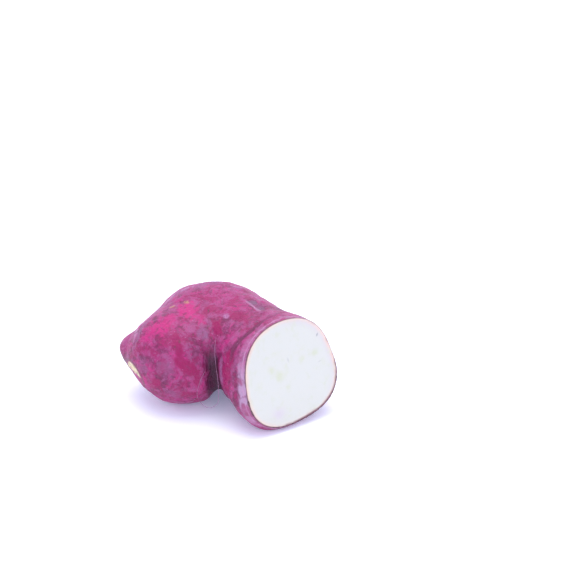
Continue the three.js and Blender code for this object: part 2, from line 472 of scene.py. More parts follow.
    scrape: tuple[Patch, ...] = (
        Patch((48.3, -0.6, 60.4), (4.8, 2.0), (0.5, -0.85, 0.05), 1.0, 0.8),
        Patch((53.4, -8.0, 60.9), (5.2, 2.2), (0.5, -0.85, 0.08), 1.0, 0.8),
    )
    hem: tuple[Patch, ...] = (
        Patch((46.6, -2.4, 60.3), (4.4, 0.8), (0.5, -0.85, 0.05), 1.0, 0.5),
        Patch((51.4, -10.4, 61.0), (5.6, 0.9), (0.5, -0.85, 0.08), 1.0, 0.5),
    )
    corky: tuple[Patch, ...] = (
        Patch((1.6, 3.0, 54.6), (1.9, 1.5), (1.0, 0.3, 0.2), 1.0, 0.7),
        Patch((10.3, 4.5, 57.0), (2.0, 1.3), (0.8, -0.5, 0.1), 0.9, 0.7),
        Patch((4.0, 1.0, 55.0), (1.2, 0.9), (0.8, -0.5, 0.1), 0.7, 0.7),
        Patch((3.0, 38.0, 30.0), (2.6, 1.6), (0.8, 0.2, 0.4), 0.9, 0.7),
        Patch((52.0, 26.0, 26.0), (2.4, 1.6), (0.8, -0.5, 0.1), 0.9, 0.7),
        Patch((74.0, 2.0, 40.0), (2.2, 1.4), (0.8, -0.5, 0.1), 0.8, 0.7),
        Patch((-14.0, 16.0, 32.0), (2.2, 1.4), (0.5, 0.5, 0.4), 0.8, 0.7),
    )


@dataclass(frozen=True)
class SkinRelief:
    """Height of the skin above its smooth form: lumps, dents, wrinkles at the fold and pits."""

    lumps: Grain = Grain(3)
    dents: Grain = Grain(11)
    wrinkle: Grain = Grain(23)
    pits: Grain = Grain(41)
    lump_height: float = 0.65
    dent_depth: float = 0.42
    wrinkle_depth: float = 0.55
    pit_depth: float = 0.24

    def height(self, p: Array, fold: Array, marks: dict[str, Array], keep: Array) -> Array:
        """Height to add along the skin's normal.

        Args:
            p: Skin points in the working frame.
            fold: One at the fold between the limbs, fading away from it.
            marks: How strongly each kind of mark covers each point.
            keep: One on free skin, zero where the surface must stay put.

        Returns:
            Broad lumps, plus finer dents, less upright wrinkles near the fold
            and round the collar, less pits, less the scraped groove.
        """
        broad = self.lump_height * self.lumps.at(p, 16.0, 2)
        fine = self.dent_depth * self.dents.at(p, 5.0, 2)
        stretched = p * vec(1.0, 1.0, 0.28)
        crease = self.wrinkle_depth * self.wrinkle.ridged(stretched, 4.0, 2) * fold
        pit = self.pit_depth * ease((self.pits.at(p, 1.9, 1) - 0.62) / 0.3)
        groove = 0.5 * marks["scrape"] + 0.5 * marks["valley"] + 1.7 * marks["deep_fold_shade_and_groove"]
        cork = 0.25 * marks["corky"]
        return keep * (broad + fine - crease - pit - groove + cork)


def add_attribute(mesh: bpy.types.Mesh, name: str, values: Array) -> None:
    """Stores one number for each vertex under a name that materials can read."""
    layer = mesh.attributes.new(name, "FLOAT", "POINT")
    layer.data.foreach_set("value", values.astype(np.float32).ravel())


def make_object(name: str, points: Array, faces: list[Array]) -> bpy.types.Object:
    """Makes a mesh object from points and polygons.

    Args:
        name: Name for both object and mesh.
        points: Vertices in metres, (n, 3).
        faces: Arrays of vertex numbers, one row a polygon; each array has its own polygon size.

    Returns:
        The object, linked to the scene, at the origin.
    """
    mesh = bpy.data.meshes.new(name)
    loops = np.concatenate([f.ravel() for f in faces]).astype(np.int32)
    sizes = np.concatenate([np.full(len(f), f.shape[1]) for f in faces]).astype(np.int32)
    starts = np.concatenate([[0], np.cumsum(sizes)[:-1]]).astype(np.int32)
    mesh.vertices.add(len(points))
    mesh.vertices.foreach_set("co", points.astype(np.float32).ravel())
    mesh.loops.add(len(loops))
    mesh.loops.foreach_set("vertex_index", loops)
    mesh.polygons.add(len(sizes))
    mesh.polygons.foreach_set("loop_start", starts)
    mesh.polygons.foreach_set("use_smooth", np.ones(len(sizes), dtype=bool))
    mesh.update(calc_edges=True)
    mesh.validate()
    made = bpy.data.objects.new(name, mesh)
    bpy.context.scene.collection.objects.link(made)
    return made


class NodePainter:
    """Short way to wire a node material: values, attributes, noise, mixes and ramps."""

    def __init__(self, name: str) -> None:
        """Starts an empty material with its shader and output.

        Args:
            name: Name of the material.
        """
        self.material = bpy.data.materials.new(name)
        self.material.use_nodes = True
        self.tree = self.material.node_tree
        self.tree.nodes.clear()
        self.shader = self.tree.nodes.new("ShaderNodeBsdfPrincipled")
        self.output = self.tree.nodes.new("ShaderNodeOutputMaterial")
        self.tree.links.new(self.shader.outputs["BSDF"], self.output.inputs["Surface"])
        self.place = self.tree.nodes.new("ShaderNodeTexCoord").outputs["Object"]

    def link(self, source: bpy.types.NodeSocket, target: bpy.types.NodeSocket) -> None:
        """Joins one socket to another."""
        self.tree.links.new(source, target)

    def attribute(self, name: str) -> bpy.types.NodeSocket:
        """The number stored on the mesh under a name."""
        node = self.tree.nodes.new("ShaderNodeAttribute")
        node.attribute_name = name
        return node.outputs["Fac"]

    def noise(self, scale: float, detail: float, roughness: float = 0.5, distortion: float = 0.0,
              stretch: tuple[float, float, float] = (1.0, 1.0, 1.0)) -> bpy.types.NodeSocket:
        """Smooth random values over the object.

        Args:
            scale: Pattern cells to the metre.
            detail: Number of finer patterns added.
            roughness: How strong the finer patterns are.
            distortion: How far the pattern is twisted.
            stretch: Scale along X, Y and Z.

        Returns:
            The socket with values in 0..1.
        """
        mapping = self.tree.nodes.new("ShaderNodeMapping")
        mapping.inputs["Scale"].default_value = stretch
        self.link(self.place, mapping.inputs["Vector"])
        node = self.tree.nodes.new("ShaderNodeTexNoise")
        node.inputs["Scale"].default_value = scale
        node.inputs["Detail"].default_value = detail
        node.inputs["Roughness"].default_value = roughness
        node.inputs["Distortion"].default_value = distortion
        self.link(mapping.outputs["Vector"], node.inputs["Vector"])
        return node.outputs["Fac"]

    def window(self, value: bpy.types.NodeSocket, low: float, high: float,
               out_low: float = 0.0, out_high: float = 1.0) -> bpy.types.NodeSocket:
        """Value eased from one range to another.

        Args:
            value: Socket to read.
            low: Value that gives out_low.
            high: Value that gives out_high.
            out_low: Result at or beyond low.
            out_high: Result at or beyond high.

        Returns:
            The eased value.
        """
        node = self.tree.nodes.new("ShaderNodeMapRange")
        node.interpolation_type = "SMOOTHSTEP"
        node.clamp = True
        ends = {"From Min": low, "From Max": high, "To Min": out_low, "To Max": out_high}
        for socket, number in ends.items():
            node.inputs[socket].default_value = number
        self.link(value, node.inputs["Value"])
        return node.outputs["Result"]

    def times(self, a: bpy.types.NodeSocket, b: bpy.types.NodeSocket | float) -> bpy.types.NodeSocket:
        """Product of two values."""
        return self._math("MULTIPLY", a, b)

    def plus(self, a: bpy.types.NodeSocket, b: bpy.types.NodeSocket | float) -> bpy.types.NodeSocket:
        """Sum of two values."""
        return self._math("ADD", a, b)

    def _math(self, kind: str, a: bpy.types.NodeSocket,
              b: bpy.types.NodeSocket | float) -> bpy.types.NodeSocket:
        """One Math node of the kind named."""
        node = self.tree.nodes.new("ShaderNodeMath")
        node.operation = kind
        self.link(a, node.inputs[0])
        if isinstance(b, (int, float)):
            node.inputs[1].default_value = b
        else:
            self.link(b, node.inputs[1])
        return node.outputs[0]

    def tint(self, base: bpy.types.NodeSocket | tuple[float, float, float],
             colour: tuple[float, float, float], share: bpy.types.NodeSocket) -> bpy.types.NodeSocket:
        """A colour laid over another by a share.

        Args:
            base: Socket or colour underneath.
            colour: Colour on top, linear.
            share: How much of the top colour shows.

        Returns:
            The mixed colour.
        """
        node = self.tree.nodes.new("ShaderNodeMix")
        node.data_type = "RGBA"
        node.blend_type = "MIX"
        node.clamp_factor = True
        if isinstance(base, tuple):
            node.inputs[6].default_value = (*base, 1.0)
        else:
            self.link(base, node.inputs[6])
        node.inputs[7].default_value = (*colour, 1.0)
        self.link(share, node.inputs[0])
        return node.outputs[2]

    def mix(self, under: bpy.types.NodeSocket, over: bpy.types.NodeSocket,
            share: bpy.types.NodeSocket) -> bpy.types.NodeSocket:
        """One wired colour laid over another by a share.

        Args:
            under: Colour underneath.
            over: Colour on top.
            share: How much of the top colour shows.

        Returns:
            The mixed colour.
        """
        mixed = self.tint(under, (0.0, 0.0, 0.0), share)
        self.link(over, mixed.node.inputs[7])
        return mixed

    def bump(self, height: bpy.types.NodeSocket, distance: float, strength: float) -> None:
        """Adds fine relief to the shader from a height value."""
        node = self.tree.nodes.new("ShaderNodeBump")
        node.inputs["Distance"].default_value = distance
        node.inputs["Strength"].default_value = strength
        self.link(height, node.inputs["Height"])
        self.link(node.outputs["Normal"], self.shader.inputs["Normal"])

    def fixed(self, **sockets: float | tuple[float, ...]) -> None:
        """Sets shader sockets that are the same all over; underscores stand for spaces."""
        for name, value in sockets.items():
            self.shader.inputs[name.replace("_", " ")].default_value = value


def linear(r: int, g: int, b: int) -> tuple[float, float, float]:
    """A colour picked as 0..255 display values, as the linear values that shaders take."""
    value = np.array([r, g, b]) / 255.0
    out = np.where(value <= 0.04045, value / 12.92, ((value + 0.055) / 1.055) ** 2.4)
    return tuple(float(v) for v in out)


@dataclass(frozen=True)
class SkinFinish:
    """Thin waxy skin: magenta ground, crimson and hot pink patches, grey-lilac bloom with painted sheen along the
    ridge, a painted ridge highlight, painted shade in the fold, cork spots and soil.
    """

    ground: tuple[float, float, float] = linear(172, 48, 112)
    deep: tuple[float, float, float] = linear(116, 30, 76)
    hot: tuple[float, float, float] = linear(198, 36, 118)
    crimson: tuple[float, float, float] = linear(156, 14, 86)
    # Grey-lilac of the wax bloom, also painted as sheen along the top ridge.
    bloom_and_ridge_sheen: tuple[float, float, float] = linear(152, 90, 130)
    haze: tuple[float, float, float] = linear(168, 82, 130)
    # Pale lilac of the painted ridge highlight.
    painted_ridge_highlight: tuple[float, float, float] = linear(196, 128, 172)
    collar: tuple[float, float, float] = linear(186, 142, 174)
    # Dark crimson of the valley band, partly painted shade in its hollow.
    valley: tuple[float, float, float] = linear(116, 38, 78)
    scrape: tuple[float, float, float] = linear(128, 78, 108)
    cork: tuple[float, float, float] = linear(190, 138, 112)
    soil: tuple[float, float, float] = linear(92, 60, 66)
    # Near-black purple: painted shade in the fold between the limbs, also used for the small dark flecks.
    fold: tuple[float, float, float] = linear(58, 22, 44)
    flake: tuple[float, float, float] = linear(204, 142, 180)
    flesh: tuple[float, float, float] = linear(226, 200, 160)
    sprout: tuple[float, float, float] = linear(150, 150, 104)

    def build(self) -> bpy.types.Material:
        """Wires the skin.

        Returns:
            A material whose colour starts from the ground, is clouded by noise,
            then takes each mark by its attribute and ends with specks and flakes.
        """
        n = NodePainter("waxy_root_skin")
        cloud = n.noise(42.0, 5.0, 0.62, 0.8)
        patch = n.noise(110.0, 6.0, 0.62, 1.2)
        mottle = n.noise(250.0, 5.0, 0.68, 0.5)
        fleck = n.noise(640.0, 3.0, 0.6)
        streak = n.noise(420.0, 4.0, 0.6, 0.3, (1.0, 1.0, 0.16))
        colour = n.tint(self.ground, self.deep, n.window(cloud, 0.44, 0.62))
        colour = n.tint(colour, self.haze, n.times(n.window(n.noise(75.0, 6.0, 0.66, 0.8), 0.45, 0.62), 0.60))
        colour = n.tint(colour, self.crimson, n.times(n.window(patch, 0.52, 0.58), 0.72))
        colour = n.tint(colour, self.hot, n.times(n.window(patch, 0.46, 0.40), 0.50))
        colour = n.tint(colour, self.haze, n.times(n.window(mottle, 0.52, 0.60), 0.62))
        colour = n.tint(colour, self.deep, n.times(n.window(mottle, 0.46, 0.38), 0.70))
        marked = (
            ("hot", self.hot, mottle, 0.38, 0.52, 0.30, 1.0),
            ("crimson", self.crimson, mottle, 0.36, 0.48, 0.62, 1.0),
            ("collar", self.collar, patch, 0.44, 0.56, 1.0, 0.30),
            ("valley", self.valley, mottle, 0.40, 0.52, 0.7, 1.0),
            # Wax bloom, and painted sheen along the ridge.
            ("bloom_and_ridge_sheen", self.bloom_and_ridge_sheen, mottle, 0.40, 0.58, 0.95, 0.45),
            # Painted highlight along the top ridge.
            ("painted_ridge_highlight", self.painted_ridge_highlight, mottle, 0.40, 0.60, 1.0, 0.4),
            ("scrape", self.scrape, mottle, 0.40, 0.54, 1.0, 0.65),
            ("hem", self.flake, mottle, 0.38, 0.52, 0.9, 0.4),
            # Painted shade: dark streaks down the fold, where the creases lie in shade.
            ("fold", self.fold, streak, 0.50, 0.60, 0.0, 0.55),
            ("fold", self.flake, streak, 0.44, 0.36, 0.0, 0.30),
        )
        for name, shade, pattern, *ends in marked:
            share = n.times(n.attribute(name), n.window(pattern, *ends))
            colour = n.tint(colour, shade, share)
        # Painted shade: the deep crease at the foot of the fold darkened almost to the shade colour.
        colour = n.tint(colour, self.fold, n.times(n.attribute("deep_fold_shade_and_groove"), 0.93))
        colour = n.tint(colour, self.flake, n.times(n.window(fleck, 0.66, 0.74), 0.50))
        colour = n.tint(colour, self.fold, n.times(n.window(fleck, 0.35, 0.28), 0.50))
        crumbly = n.window(fleck, 0.36, 0.56, 0.25, 0.9)
        colour = n.tint(colour, self.cork, n.times(n.attribute("corky"), crumbly))
        colour = n.tint(colour, self.soil, n.attribute("soil"))
        bare = n.tint(self.flesh, self.sprout, n.times(n.window(mottle, 0.50, 0.60), 0.8))
        colour = n.mix(colour, bare, n.attribute("bare"))
        n.link(colour, n.shader.inputs["Base Color"])
        gloss = n.window(mottle, 0.30, 0.70, 0.38, 0.55)
        gloss = n.plus(gloss, n.times(n.attribute("bloom_and_ridge_sheen"), 0.10))
        n.link(gloss, n.shader.inputs["Roughness"])
        n.fixed(IOR=1.38, Subsurface_Weight=0.10, Subsurface_Scale=0.002, Subsurface_Radius=(1.0, 0.45, 0.6),
                Coat_Weight=0.06, Coat_Roughness=0.22)
        grain = n.plus(n.times(n.noise(900.0, 3.0, 0.6), 0.6), n.times(mottle, 0.9))
        grain = n.plus(grain, n.times(n.times(streak, n.attribute("fold")), 1.5))
        n.bump(grain, 0.0009, 0.9)
        return n.material


@dataclass(frozen=True)
class FleshFinish:
    """Moist pale flesh: cool white, a warm ring under the skin, faint yellow-green vessels and specks."""

    flesh: tuple[float, float, float] = linear(215, 211, 202)
    core: tuple[float, float, float] = linear(208, 207, 182)
    ring: tuple[float, float, float] = linear(232, 200, 182)
    blush: tuple[float, float, float] = linear(212, 194, 204)
    speck: tuple[float, float, float] = linear(110, 104, 112)
    line: tuple[float, float, float] = linear(118, 66, 84)

    def build(self) -> bpy.types.Material:
        """Wires the flesh: pale ground, then vessels, blush, ring, specks and the skin's brown edge."""
        n = NodePainter("moist_pale_flesh")
        grain = n.noise(220.0, 5.0, 0.6)
        fibre = n.noise(900.0, 3.0, 0.6)
        patchy = n.window(grain, 0.35, 0.6, 0.5, 1.0)
        colour = n.tint(self.flesh, self.core, n.times(n.attribute("vessel"), patchy))
        colour = n.tint(colour, self.blush, n.times(n.attribute("blush"), 0.6))
        colour = n.tint(colour, self.ring, n.attribute("ring"))
        colour = n.tint(colour, self.core, n.times(n.window(grain, 0.50, 0.72), 0.45))
        colour = n.tint(colour, self.speck, n.times(n.attribute("speck"), 0.85))
        colour = n.tint(colour, self.line, n.attribute("edge"))
        n.link(colour, n.shader.inputs["Base Color"])
        n.link(n.window(fibre, 0.3, 0.7, 0.36, 0.55), n.shader.inputs["Roughness"])
        n.fixed(IOR=1.38, Subsurface_Weight=0.35, Subsurface_Scale=0.004, Subsurface_Radius=(1.0, 0.85, 0.7))
        n.bump(n.plus(n.times(fibre, 0.5), n.times(grain, 0.6)), 0.0004, 0.35)
        return n.material


@dataclass(frozen=True)
class ThreadFinish:
    """Dry pale rootlet, a little darker in patches."""

    pale: tuple[float, float, float] = linear(186, 132, 166)
    dark: tuple[float, float, float] = linear(150, 96, 120)

    def build(self) -> bpy.types.Material:
        """Wires the rootlet: two dull tones broken by noise."""
        n = NodePainter("dry_rootlet")
        colour = n.tint(self.pale, self.dark, n.window(n.noise(500.0, 3.0), 0.4, 0.7))
        n.link(colour, n.shader.inputs["Base Color"])
        n.fixed(Roughness=0.6)
        return n.material


@dataclass(frozen=True)
class RagFinish:
    """Brown dried edge of skin, darker in its hollows."""

    brown: tuple[float, float, float] = linear(138, 92, 102)
    dark: tuple[float, float, float] = linear(74, 46, 56)

    def build(self) -> bpy.types.Material:
        """Wires the dried edge: two browns broken by noise, with a rough surface."""
        n = NodePainter("dried_skin_edge")
        patch = n.noise(650.0, 4.0, 0.65)
        n.link(n.tint(self.brown, self.dark, n.window(patch, 0.38, 0.62)), n.shader.inputs["Base Color"])
        n.fixed(Roughness=0.72)
        n.bump(patch, 0.0004, 0.6)
        return n.material


@dataclass
class SweetPotato:
    """The root itself: one closed surface of skin with the pale round at its sliced end."""

    form: RootForm = field(default_factory=RootForm)
    relief: SkinRelief = field(default_factory=SkinRelief)
    marks: SkinMarks = field(default_factory=SkinMarks)
    quality: Quality = Quality.FULL
    wander: Grain = Grain(57)
    broad: Grain = Grain(71)
    offset: Array = field(default_factory=lambda: vec(0.0, 0.0, 0.0))

    def place(self, p: Array) -> Array:
        """Working-frame millimetres as metres in the row frame."""
        return (p + self.offset) * MM

    def cover(self, p: Array) -> dict[str, Array]:
        """How strongly each kind of mark covers each point: its strongest patch, edges moved by noise."""
        wander = self.wander.at(p, 5.0, 3) + 0.8 * self.broad.at(p, 2.2, 2)
        kinds = {}
        for kind in ("hot", "crimson", "valley", "bloom_and_ridge_sheen", "painted_ridge_highlight", "scrape", "hem", "corky"):
            patches = [patch.cover(p, wander) for patch in getattr(self.marks, kind)]
            kinds[kind] = np.clip(np.max(patches, axis=0), 0.0, 1.0)
        return kinds

    def skin_grid(self) -> tuple[Array, dict[str, Array]]:
        """The skin's points with relief, and the marks on them.

        Returns:
            Points (rows, around, 3) and one array of numbers for each mark. The
            smooth skin moves along its normal by the relief, which eases to
            nothing at the cut's rim, on the trimmed flats and at the table.
        """
        end, body, _, around = self.quality.value
        p = self.form.skin(end, body, around)
        normal = self.form.outward(p)
        angle, _, ahead = self.form.cut.polar(p)
        thin, sliced = self.form.limbs(p)
        sides = np.abs(thin - sliced)
        hollow = ease((6.0 - p[..., 1]) / 14.0)
        low = 1.0 - 0.75 * ease((p[..., 2] - 30.0) / 25.0)
        # Near the fold between the limbs: carries the wrinkles and the painted shade of the crease.
        fold = ease(1.0 - sides / 9.0) * low * hollow
        marks = self.cover(p)
        marks["fold"] = fold
        ragged = sides + 1.2 * self.wander.at(p, 4.0, 2)
        # Painted shade of the deep crease low at the front, which is also carved there as a groove.
        marks["deep_fold_shade_and_groove"] = ease(1.15 - ragged / 6.5) * ease((50.0 - p[..., 2]) / 18.0) * hollow
        reach = 4.2 + 2.2 * self.wander.at(p, 9.0, 2) + 2.6 * np.exp(-((np.abs(angle) - 2.9) / 0.7) ** 2)
        pale = 0.35 + 0.65 * ease((48.0 - p[..., 2]) / 12.0)
        pale = pale * (0.55 + 0.45 * ease((p[..., 2] - 8.0) / 14.0))
        marks["collar"] = pale * ease((ahead + reach + 1.5) / 3.0)
        bare = np.zeros(p.shape[:-1])
        dried = np.zeros(p.shape[:-1])
        for trim in self.form.trims:
            flat = ease((trim.front(p) + 0.22) / 0.12)
            bare = np.maximum(bare, flat * ease((p[..., 2] - 21.0 + 5.0 * self.wander.at(p, 3.0, 2)) / 2.5))
            dried = np.maximum(dried, ease(1.0 - np.abs(trim.front(p) + 0.40) / 0.35))
        marks["bare"] = bare
        line = ahead + 2.6 + 0.5 * self.wander.at(p, 6.0, 2)
        hem = 0.9 * ease(1.0 - np.abs(line) / 0.8) * ease((np.abs(angle) - 1.2) / 0.6)
        marks["hem"] = np.maximum(marks["hem"], hem)
        rim = ease((ahead + 0.9 + 0.5 * self.wander.at(p, 2.5, 2)) / 0.7)
        under = ease((3.0 - p[..., 2]) / 4.0) * ease((self.broad.at(p, 6.0, 3) + 0.1) / 0.6)
        scatter = ease((self.broad.at(p, 2.6, 2) - 0.62) / 0.2) * 0.7
        marks["soil"] = np.clip(0.75 * rim + 0.55 * under + scatter * (1.0 - bare) + 0.6 * dried, 0.0, 1.0)
        keep = ease(-ahead / 4.0) * (1.0 - bare) * ease(p[..., 2] / 3.0)
        p = p + normal * self.relief.height(p, fold, marks, keep)[..., None]
        p[..., 2] = np.maximum(p[..., 2], 0.0)
        return p, marks

    def cut_grid(self, rim: Array) -> tuple[Array, dict[str, Array]]:
        """The cut round as rings that shrink from the rim to the middle.

        Args:
            rim: The skin's last row, (around, 3).

        Returns:
            Points (rings, around, 3), without rim and middle, and the marks of the flesh.
        """
        rings = self.quality.value[2]
        share = 1.0 - (np.arange(1, rings) / rings) ** 1.35
        centre = self.form.cut.centre()
        p = centre + (rim[None] - centre) * share[:, None, None]
        return p, self.flesh_marks(p, rim)

    def flesh_marks(self, p: Array, rim: Array) -> dict[str, Array]:
        """Marks of the flesh at points of the cut: ring, blush, vessels, specks and the skin's brown edge."""
        cut = self.form.cut
        angle, radius, _ = cut.polar(p)
        rim_radius = np.linalg.norm(rim - cut.centre(), axis=-1)
        inside = rim_radius[None] - radius if p.ndim == 3 else rim_radius - radius
        a, b = radius * np.cos(angle), radius * np.sin(angle)
        wander = self.wander.at(p, 3.0, 3)
        side = 0.62 + 0.38 * np.cos(angle - math.radians(-15)) ** 2
        ring = ease(1.1 - inside / (2.6 + 1.0 * wander)) * side
        blush = ease(1.0 - inside / 6.0) * ease(np.cos(angle - math.radians(30)) * 1.2)
        blush = np.maximum(blush, np.exp(-(((a + 11.3) / 4.0) ** 2 + ((b + 22.9) / 3.0) ** 2)))
        vessel = np.zeros_like(a)
        vessels = ((-6.9, -1.3, 3.6), (-12.2, 3.8, 2.6), (7.6, 4.7, 2.2), (17.5, 6.7, 2.4), (-3.0, -9.0, 2.0))
        for x, y, size in vessels:
            spot = np.hypot(a - x, b - y) / size + 0.5 * wander
            vessel = np.maximum(vessel, ease(1.3 - spot))
        speck = np.zeros_like(a)
        for x, y, size, dark in ((19.8, 15.7, 0.42, 1.0), (-1.0, 6.6, 0.30, 0.25), (20.1, 0.0, 0.30, 0.25)):
            speck = np.maximum(speck, dark * ease(1.6 - np.hypot((a - x) * 0.7, b - y) / size))
        heel = ease(1.0 - np.abs(angle + 1.05) / 1.25)
        edge = ease(1.25 - inside / (0.5 + 0.25 * wander + heel * (0.9 + 0.5 * wander)))
        return {"ring": ring, "blush": blush, "vessel": vessel, "speck": speck, "edge": edge}

    def build(self) -> bpy.types.Object:
        """Builds the closed root and dresses it.

        Returns:
            The object: pole, skin rows, cut rings and middle joined in one mesh
            with shared rim and seam; skin polygons take the skin, cut ones the flesh.
        """
        skin, marks = self.skin_grid()
        around = skin.shape[1]
        facing = self.form.cut.normal()
        skin[-1] -= facing * ((skin[-1] - self.form.cut.centre()) @ facing)[:, None]
        cut, flesh = self.cut_grid(skin[-1])
        rim_flesh = self.flesh_marks(skin[-1], skin[-1])
        pole = skin[0].mean(axis=0, keepdims=True)
        centre = self.form.cut.centre()[None]
        points = np.concatenate([pole, skin[1:].reshape(-1, 3), cut.reshape(-1, 3), centre])
        skin_rows, cut_rows = skin.shape[0] - 1, cut.shape[0]
        number = 1 + np.arange((skin_rows + cut_rows) * around).reshape(-1, around)
        following = np.roll(number, -1, axis=1)
        quads = np.stack([number[:-1], following[:-1], following[1:], number[1:]], axis=-1)
        cap_start = np.stack([np.zeros(around, dtype=int), following[0], number[0]], axis=-1)
        last = len(points) - 1
        cap_end = np.stack([number[-1], following[-1], np.full(around, last)], axis=-1)
        skin_quads = quads[: skin_rows - 1].reshape(-1, 4)
        flesh_quads = quads[skin_rows - 1:].reshape(-1, 4)
        faces = [cap_start, skin_quads, flesh_quads, cap_end]
        made = make_object("root_skin_and_flesh", self.place(points), faces)
        mesh = made.data
        mesh.materials.append(SkinFinish().build())
        mesh.materials.append(FleshFinish().build())
        index = np.repeat([0.0, 1.0], [len(cap_start) + len(skin_quads), len(flesh_quads) + len(cap_end)])
        mesh.polygons.foreach_set("material_index", index.astype(np.int32))
        mesh.polygons.foreach_set("use_smooth", index < 0.5)
        for kind, values in marks.items():
            whole = np.concatenate([values[0, :1], values[1:].ravel(), np.zeros(cut_rows * around + 1)])
            add_attribute(mesh, kind, whole)
        for kind, values in flesh.items():
            blank = np.zeros(1 + (skin_rows - 1) * around)
            whole = np.concatenate([blank, rim_flesh[kind], values.ravel(), [0.0]])
            add_attribute(mesh, kind, whole)
        mesh.update()
        return made


@dataclass(frozen=True)
class Rootlet:
    """A fine dry thread lying on the skin: points it passes near, and its radius in millimetres."""

    name: str
    through: tuple[tuple[float, float, float], ...]
    r: float = 0.13
    lift: float = 0.12

    def path(self, form: RootForm, steps: int = 90) -> Array:
        """Middle line of the thread.

        Args:
            form: The root it lies on.
            steps: Points along it.

        Returns:
            A smooth curve through the points, each then drawn on to the skin
            where it would sink in, and held above the table.
        """
        knots = np.array(self.through)
        padded = np.concatenate([2 * knots[:1] - knots[1:2], knots, 2 * knots[-1:] - knots[-2:-1]])
        t = np.linspace(0.0, len(knots) - 1.0, steps)
        i = np.minimum(t.astype(int), len(knots) - 2)
        f = (t - i)[:, None]
        a, b, c, d = padded[i], padded[i + 1], padded[i + 2], padded[i + 3]
        line = 0.5 * (2 * b + (c - a) * f + (2 * a - 5 * b + 4 * c - d) * f**2
                      + (3 * b - a - 3 * c + d) * f**3)
        for _ in range(6):
            gap = form.distance(line) - self.lift
            line = line - form.outward(line) * np.minimum(gap, 0.0)[:, None]
        line[:, 2] = np.maximum(line[:, 2], self.r * 1.3)
        return line

    def build(self, potato: SweetPotato) -> bpy.types.Object:
        """Sweeps a small round section along the path.

        Args:
            potato: The root the thread lies on.

        Returns:
            A closed tube that tapers toward both ends.
        """
        line = self.path(potato.form)
        sides = 7
        tangent = unit(np.gradient(line, axis=0))
        side = unit(np.cross(tangent, vec(0.31, 0.27, 0.91)))
        top = np.cross(side, tangent)
        turn = np.linspace(0.0, 2.0 * math.pi, sides, endpoint=False)
        ring = side[:, None] * np.cos(turn)[None, :, None] + top[:, None] * np.sin(turn)[None, :, None]
        t = np.linspace(0.0, 1.0, len(line))
        radius = self.r * (0.45 + 0.55 * np.sin(math.pi * t) ** 0.4)
        tube = line[:, None] + ring * radius[:, None, None]
        points = np.concatenate([line[:1], tube.reshape(-1, 3), line[-1:]])
        number = 1 + np.arange(len(line) * sides).reshape(-1, sides)
        following = np.roll(number, -1, axis=1)
        quads = np.stack([number[:-1], number[1:], following[1:], following[:-1]], axis=-1).reshape(-1, 4)
        start = np.stack([np.zeros(sides, dtype=int), number[0], following[0]], axis=-1)
        end = np.stack([number[-1], np.full(sides, len(points) - 1), following[-1]], axis=-1)
        made = make_object(self.name, potato.place(points), [start, quads, end])
        made.data.materials.append(ThreadFinish().build())
        return made


@dataclass(frozen=True)
class DriedEdge:
    """Ragged lip of dried skin that stands a little proud of the cut's rim.

    Attributes:
        start: Angle round the cut where the lip starts, in degrees.
        stop: Angle where it ends.
        width: Widest part of the lip, in millimetres.
    """

    name: str
    start: float
    stop: float
    width: float
    seed: int

    def build(self, potato: SweetPotato, rim: Array) -> bpy.types.Object:
        """Makes the lip as a closed rounded band.

        Args:
            potato: The root it belongs to.
            rim: The rim of the cut, (around, 3), in the working frame.

        Returns:
            A band that follows the rim: its section is a flat oval whose height
            and width swell and shrink with noise and die away at both ends.
        """
        cut = potato.form.cut
        steps, sides = 260, 10
        angle = np.radians(np.linspace(self.start, self.stop, steps))
        rim_angle, rim_radius, _ = cut.polar(rim)
        order = np.argsort(rim_angle)
        turn = np.mod(angle + math.pi, 2 * math.pi) - math.pi
        radius = np.interp(turn, rim_angle[order], rim_radius[order], period=2 * math.pi)
        outward = np.cos(angle)[:, None] * cut.across() + np.sin(angle)[:, None] * cut.up()
        line = cut.centre() + outward * radius[:, None]
        rough = Grain(self.seed)
        swell = ease(np.minimum(np.linspace(0, 1, steps), np.linspace(1, 0, steps)) * 7.0)
        thick = swell * (0.55 + 0.35 * rough.at(line, 1.6, 3)) + 0.02
        wide = swell * self.width * (0.5 + 0.5 * rough.at(line + 40.0, 2.2, 3)) + 0.05
        around = np.linspace(0.0, 2.0 * math.pi, sides, endpoint=False)
        back = -cut.normal()
        section = (outward[:, None] * (np.cos(around)[None] * thick[:, None] - 0.10)[..., None]
                   + back * (0.5 * wide[:, None] * (np.sin(around)[None] + 1.0) - 0.12)[..., None])
        band = line[:, None] + section
        points = np.concatenate([line[:1], band.reshape(-1, 3), line[-1:]])
        points[:, 2] = np.maximum(points[:, 2], 0.02)
        number = 1 + np.arange(steps * sides).reshape(-1, sides)
        following = np.roll(number, -1, axis=1)
        quads = np.stack([number[:-1], following[:-1], following[1:], number[1:]], axis=-1).reshape(-1, 4)
        first = np.stack([np.zeros(sides, dtype=int), following[0], number[0]], axis=-1)
        final = np.stack([number[-1], following[-1], np.full(sides, len(points) - 1)], axis=-1)
        made = make_object(self.name, potato.place(points), [first, quads, final])
        made.data.materials.append(RagFinish().build())
        return made


